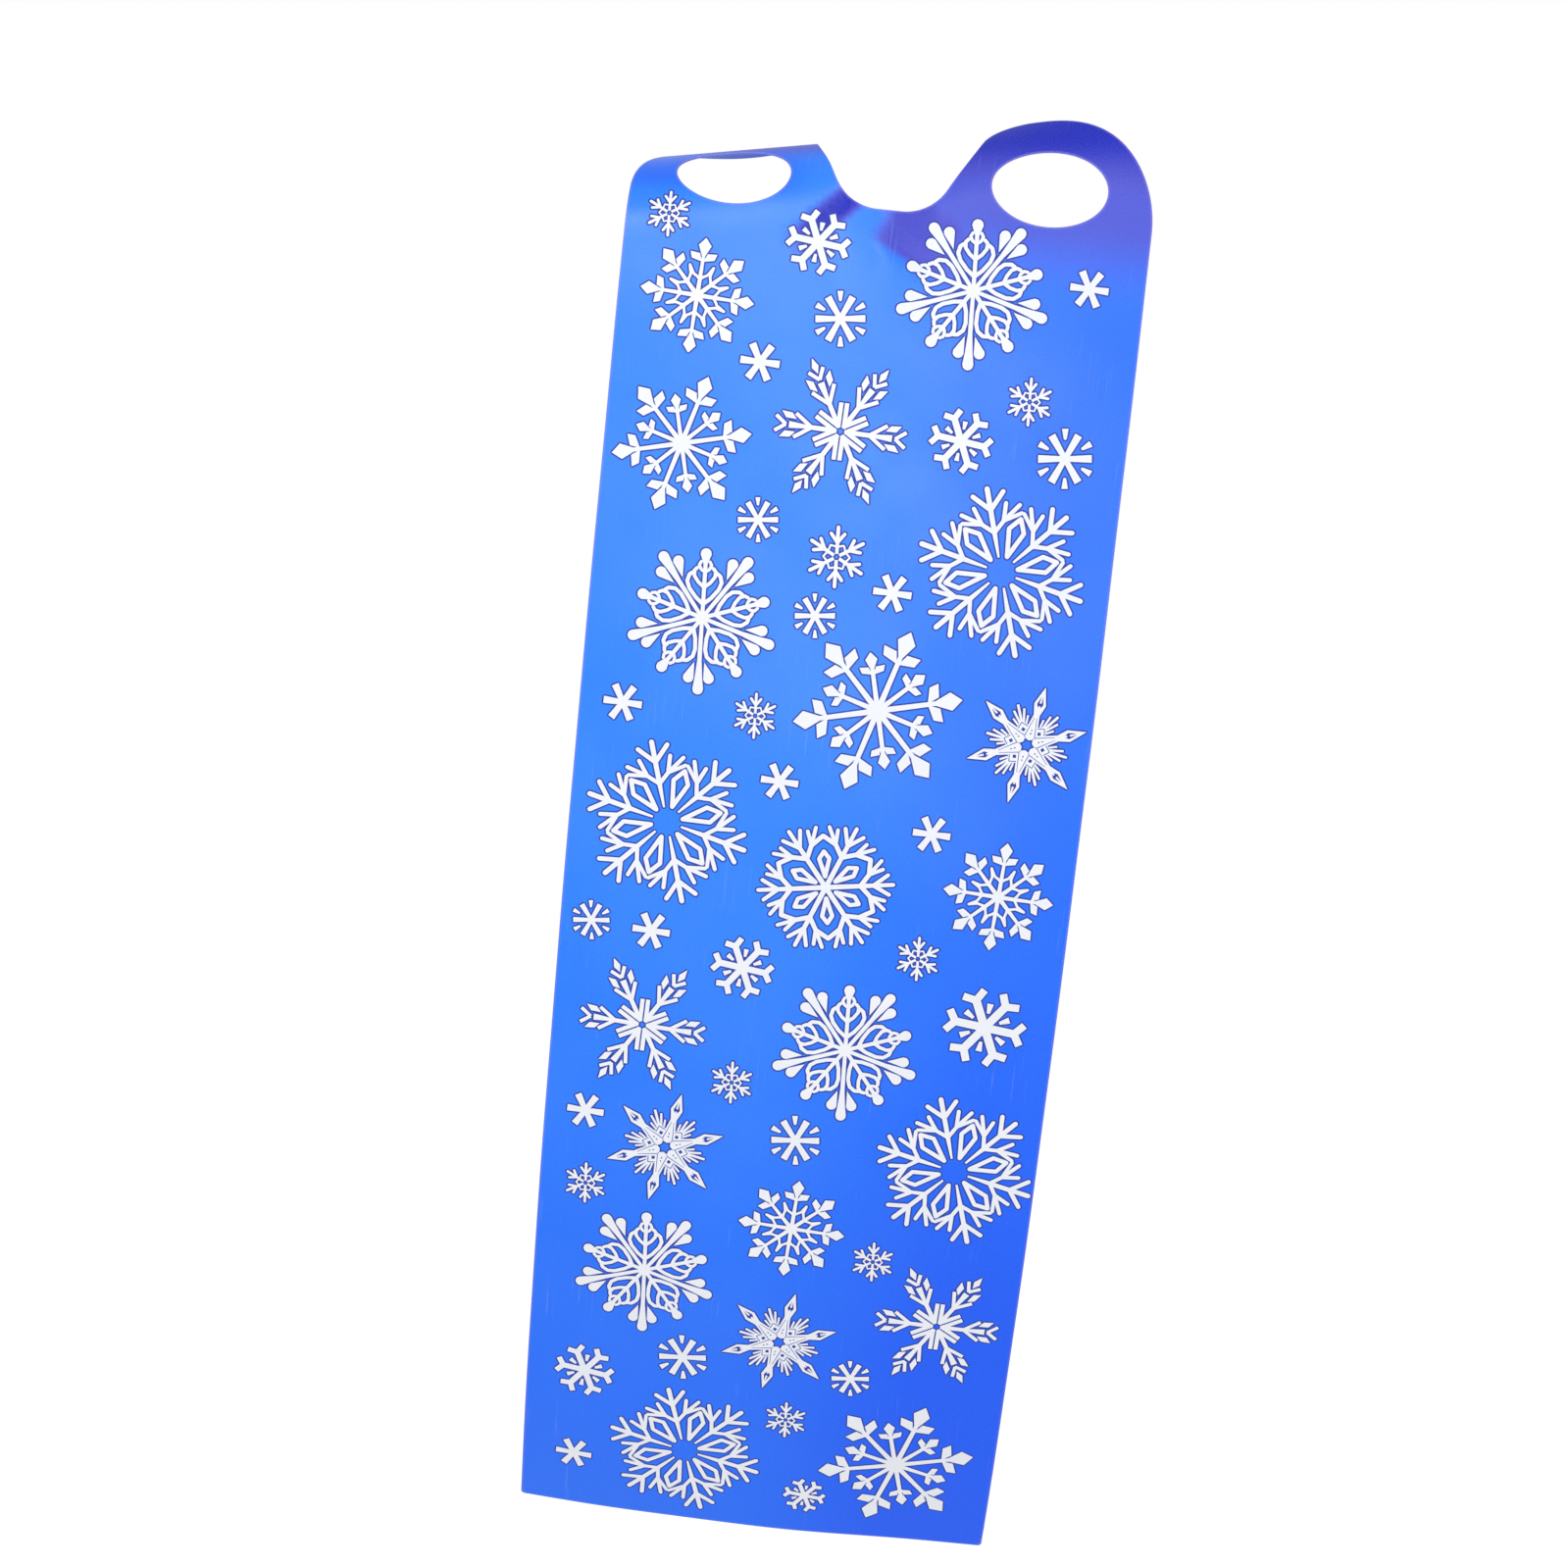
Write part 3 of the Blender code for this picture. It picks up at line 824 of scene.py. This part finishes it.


# Painted shade: the shifts of the blue below stand for shade on the hanging sheet.
# Each shift of the blue has its start or its end, and the length over which it comes or fades: metres
# on the flat sheet, and along a dent shares of the dent's length
deeper_down, deeper_rightwards, sheet_shade_depth = (0.42, 0.62), (-0.05, 0.22), 0.55
deeper_on_left_lobe, deeper_leftwards, lobe_shade_depth = (-0.005, 0.020), (0.05, 0.05), 0.6
violet_on_lobe, violet_at_lobe_top, violet_rightwards = (-0.055, 0.065), (0.028, 0.045), (0.004, 0.040)
violet_share_on_lobe, violet_share_at_lobe_top = 0.45, 0.55
lilac_on_left_lobe, lilac_share_on_left_lobe = (0.036, 0.036), 0.5
left_violet_off_line, left_violet_band = 0.002, (1.12 * dent_half_width, 0.8 * dent_half_width)
left_violet_starts, left_violet_ends = (-0.3, 0.3), (1.15, 0.5)
right_violet_below, right_violet_above = (-0.0096, 0.008), (0.070, 0.040)
right_violet_starts, right_violet_ends, right_violet_share = (-0.15, 0.25), (1.5, 0.8), 0.55


def rising(value, start, length):
    """A smooth step up from 0 at the start, to 1 a length further on."""
    return eased((value - start) / length)


def falling(value, end, length):
    """A smooth step down to 0 at the end, from 1 a length before it."""
    return eased((end - value) / length)


def painted_shade_depth_at(flat):
    """How deep the painted shade on the blue is: deepest towards the right side and the free end, and on the
    left lobe.
    """
    from_middle, above = flat.T
    sheet = rising(-above, *deeper_down) + rising(from_middle, *deeper_rightwards)
    left_lobe = rising(above, *deeper_on_left_lobe) * rising(-from_middle, *deeper_leftwards)
    return sheet_shade_depth * sheet + lobe_shade_depth * left_lobe


def painted_violet_shade_at(flat):
    """How far the painted shade turns the blue to lilac (half) and on to violet (1), on the lobes and in the
    dents.
    """
    from_middle, above = flat.T
    right_lobe = violet_share_on_lobe * rising(above, *violet_on_lobe)
    right_lobe += violet_share_at_lobe_top * rising(above, *violet_at_lobe_top)
    right_lobe *= rising(from_middle, *violet_rightwards)
    left_lobe = lilac_share_on_left_lobe * rising(above, *lilac_on_left_lobe) * (from_middle < 0)
    share, off = beside_dent(from_middle, above, *left_dent)
    left = falling(np.abs(off + left_violet_off_line), *left_violet_band)
    left *= rising(share, *left_violet_starts) * falling(share, *left_violet_ends)
    share, off = beside_dent(from_middle, above, *right_dent)
    right = rising(off, *right_violet_below) * falling(off, *right_violet_above)
    right *= rising(share, *right_violet_starts) * falling(share, *right_violet_ends)
    return np.max((right_lobe, left_lobe, left, right_violet_share * right), axis=0)


facing_step, rim_step = 0.0004, 0.0005


def facing_of(flat, depth):
    """The way the front of the hanging sheet faces at each point, found from the points beside it."""
    sideways, upwards = (facing_step, 0), (0, facing_step)
    run_across = sheet_place(flat + sideways, depth) - sheet_place(flat - sideways, depth)
    run_up = sheet_place(flat + upwards, depth) - sheet_place(flat - upwards, depth)
    facing = np.cross(run_across, run_up)
    return facing / np.linalg.norm(facing, axis=1)[:, None]


def sheet_piece(name, number):
    """One piece of the skin: its printed front, its back and its cut edges."""
    places, facings, faces, flats, slots = [], [], [], [], []

    def add(flat, depth, facing, triangles, kinds):
        first = sum(map(len, places))
        places.append(sheet_place(flat, depth))
        facings.append(facing)
        flats.append(flat)
        faces.extend((np.asarray(triangles) + first).tolist())
        slots.extend(np.broadcast_to(kinds, len(triangles)).tolist())

    for points, triangles, piece, kinds, depth in (
        (front_points, front_faces, front_piece, front_ink, sheet_thickness),
        (back_points, back_faces, back_piece, BACK, 0.0),
    ):
        mine = piece == number
        used, local = np.unique(triangles[mine], return_inverse=True)
        local = local.reshape(-1, 3)
        kinds = kinds[mine] if depth else kinds
        facing = facing_of(points[used], depth)
        add(points[used], depth, facing if depth else -facing, local if depth else local[:, ::-1], kinds)
    mine = back_piece[rim_owner] == number
    used, local = np.unique(rim_pairs[mine], return_inverse=True)
    local = local.reshape(-1, 2)
    levels, count = len(rim_depths), len(used)
    flat = np.concatenate([back_points[used] + rim_out[used] * bulge for bulge in rim_bulge])
    quads = [
        (a + level * count, a + (level + 1) * count, b + (level + 1) * count, b + level * count)
        for level in range(levels - 1) for a, b in local
    ]
    if quads:
        depth = np.repeat(rim_depths, count)
        further_out = flat + np.tile(rim_out[used], (levels, 1)) * rim_step
        outward = sheet_place(further_out, depth) - sheet_place(flat, depth)
        outward /= np.linalg.norm(outward, axis=1)[:, None]
        facing = outward + facing_of(flat, depth) * np.repeat(rim_lean, count)[:, None]
        add(flat, depth, facing / np.linalg.norm(facing, axis=1)[:, None], quads, CUT)

    mesh = bpy.data.meshes.new(name)
    mesh.from_pydata(np.concatenate(places).tolist(), [], faces)
    for finish in finishes:
        mesh.materials.append(finish)
    mesh.polygons.foreach_set("material_index", slots)
    mesh.shade_smooth()
    mesh.normals_split_custom_set_from_vertices(np.concatenate(facings).tolist())
    flat = np.concatenate(flats)
    stored = mesh.attributes.new("flat_place", "FLOAT_VECTOR", "POINT")
    stored.data.foreach_set("vector", np.column_stack((flat, np.zeros(len(flat)))).ravel())
    # The painted shade is stored on the points: its depth, and its lilac and violet halves.
    lilac = 2 * painted_violet_shade_at(flat)
    for attribute, values in (("from_edge", from_cut_edge(flat)), ("painted_deep_shade", painted_shade_depth_at(flat)),
                              ("lilac", np.minimum(lilac, 1)), ("violet", np.maximum(lilac - 1, 0))):
        stored = mesh.attributes.new(attribute, "FLOAT", "POINT")
        stored.data.foreach_set("value", values)
    piece = bpy.data.objects.new(name, mesh)
    bpy.context.scene.collection.objects.link(piece)
    return piece


# The two handle lobes: the top of the sheet on both sides of the finger notch, each with its oval
# hand hole. They are cut in one with the rest, and bend softly along the line where the curl begins.
fold_starts_on_notch_round = math.radians(24.8)
right_fold_ends_below_notch = 0.0120
uphill_step, clear_of_seam, seam_points = 0.004, 0.0003, 9


def fold_line(side):
    """The two ends of a lobe's fold line in the flat sheet."""
    near = (notch_flat_half_width + notch_radius * math.sin(fold_starts_on_notch_round),
            notch_radius * (1 - math.cos(fold_starts_on_notch_round)))
    if side > 0:
        return near, (half_width, -right_fold_ends_below_notch)
    return (-near[0], near[1]), (-half_width, near[1] - (half_width - near[0]) * math.tan(left_curl_slant))


for side, number, word in ((-1, LEFT_LOBE, "left"), (1, RIGHT_LOBE, "right")):
    lobe = sheet_piece(word + "_handle_lobe_sheet", number)
    near, far = (np.array(end) for end in fold_line(side))
    run = (far - near) / np.linalg.norm(far - near) * side
    uphill = np.array((-run[1], run[0]))
    ends = sheet_place([near, far, (near + far) / 2, (near + far) / 2 + uphill * uphill_step], 0)
    axis = (ends[1] - ends[0]) / np.linalg.norm(ends[1] - ends[0])
    climb = ends[3] - ends[2]
    climb -= axis * climb.dot(axis)
    climb /= np.linalg.norm(climb)
    seam_columns = np.linspace(seam_corner, half_width, seam_points)
    seam_flat = np.array([(side * column, lobe_seam_at(side, column)) for column in seam_columns])
    seam = np.concatenate((sheet_place(seam_flat, 0), sheet_place(seam_flat, sheet_thickness)))
    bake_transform(lobe)
    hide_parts(word + "_handle_lobe")


# The grip: the part of the sheet right below the notch, pinched into a ridge between two dents. It
# is one with the lobes above it and with the rolling length below.
grip = sheet_piece("grip_sheet", GRIP)
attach(grip, "grip_section")
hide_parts("grip_section")


# The rolling length: the rest of the same sheet, thin enough to roll up from its free end. Each piece
# reaches from the middle of one strip of the model to the middle of the next.
strip_above = "grip_section"
for number in range(strip_count):
    strip = f"roll_strip_{number + 1:02d}"
    bend = sheet_piece(f"rolling_sheet_{number + 1:02d}", number)
    first, last = sheet_place([(0, -seams_below[number]), (0, -seams_below[number + 1])], 0)
    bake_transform(bend)
    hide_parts(strip)
    strip_above = strip

free_end = sheet_piece("rolling_sheet_end", strip_count)
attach(free_end, strip_above)


# The studio: a plain pale floor far below the sled and a white surround. The key light is a soft disk
# in front, at the upper left. A broad fill light stands in front too, and a broader one behind.
floor_height, floor_size = -1.60, 14.0
floor_white, floor_roughness = (0.92, 0.92, 0.93, 1), 0.9
floor_glow, floor_glow_share = 1.18, 0.80
surround_white, surround_light, surround_seen = (1, 1, 1, 1), 0.46, 1.0

floor_mesh = bpy.data.meshes.new("floor")
half = floor_size / 2
floor_mesh.from_pydata([(-half, -half, floor_height), (half, -half, floor_height),
                        (half, half, floor_height), (-half, half, floor_height)], [], [(0, 1, 2, 3)])
floor = bpy.data.objects.new("floor", floor_mesh)
bpy.context.scene.collection.objects.link(floor)


def seen_rays(tree):
    """1 for rays that show a surface: from the camera, from a gloss or through a clear body."""
    rays = tree.nodes.new("ShaderNodeLightPath")
    seen = rays.outputs["Is Camera Ray"]
    for kind in ("Is Glossy Ray", "Is Transmission Ray"):
        larger = tree.nodes.new("ShaderNodeMath")
        larger.operation = "MAXIMUM"
        tree.links.new(seen, larger.inputs[0])
        tree.links.new(rays.outputs[kind], larger.inputs[1])
        seen = larger.outputs[0]
    return seen


paper = bpy.data.materials.new("white paper floor")
paper.use_nodes = True
floor_mesh.materials.append(paper)
tree = paper.node_tree
tree.nodes["Principled BSDF"].inputs["Base Color"].default_value = floor_white
tree.nodes["Principled BSDF"].inputs["Roughness"].default_value = floor_roughness
glow = tree.nodes.new("ShaderNodeEmission")
glow.inputs["Strength"].default_value = floor_glow
share = tree.nodes.new("ShaderNodeMath")
share.operation = "MULTIPLY"
share.inputs[1].default_value = floor_glow_share
tree.links.new(seen_rays(tree), share.inputs[0])
blend_node = tree.nodes.new("ShaderNodeMixShader")
tree.links.new(share.outputs[0], blend_node.inputs[0])
tree.links.new(tree.nodes["Principled BSDF"].outputs[0], blend_node.inputs[1])
tree.links.new(glow.outputs[0], blend_node.inputs[2])
tree.links.new(blend_node.outputs[0], tree.nodes["Material Output"].inputs["Surface"])

world = bpy.data.worlds.new("white surround")
bpy.context.scene.world = world
world.use_nodes = True
tree = world.node_tree
strength = tree.nodes.new("ShaderNodeMapRange")
strength.inputs["To Min"].default_value = surround_light
strength.inputs["To Max"].default_value = surround_seen
tree.links.new(seen_rays(tree), strength.inputs["Value"])
tree.links.new(strength.outputs[0], tree.nodes["Background"].inputs["Strength"])
tree.nodes["Background"].inputs["Color"].default_value = surround_white


def soft_light(name, place, aim, size, watts):
    """A round area light at a place, turned towards its aim."""
    lamp = bpy.data.lights.new(name, "AREA")
    lamp.shape = "DISK"
    lamp.size = size
    lamp.energy = watts
    light = bpy.data.objects.new(name, lamp)
    light.location = place
    light.rotation_euler = (Vector(aim) - Vector(place)).to_track_quat("-Z", "Y").to_euler()
    bpy.context.scene.collection.objects.link(light)


soft_light("key light", (-0.53, -2.10, 1.08), aim=(0, 0, -0.20), size=0.75, watts=24.5)
soft_light("fill light", (0.10, -2.7, -0.05), aim=(0, 0, -0.5), size=1.2, watts=22.5)
soft_light("back light", (-0.9, 2.6, -0.3), aim=(0, 0, -0.6), size=1.8, watts=26)

bpy.context.scene.view_settings.view_transform = "Standard"
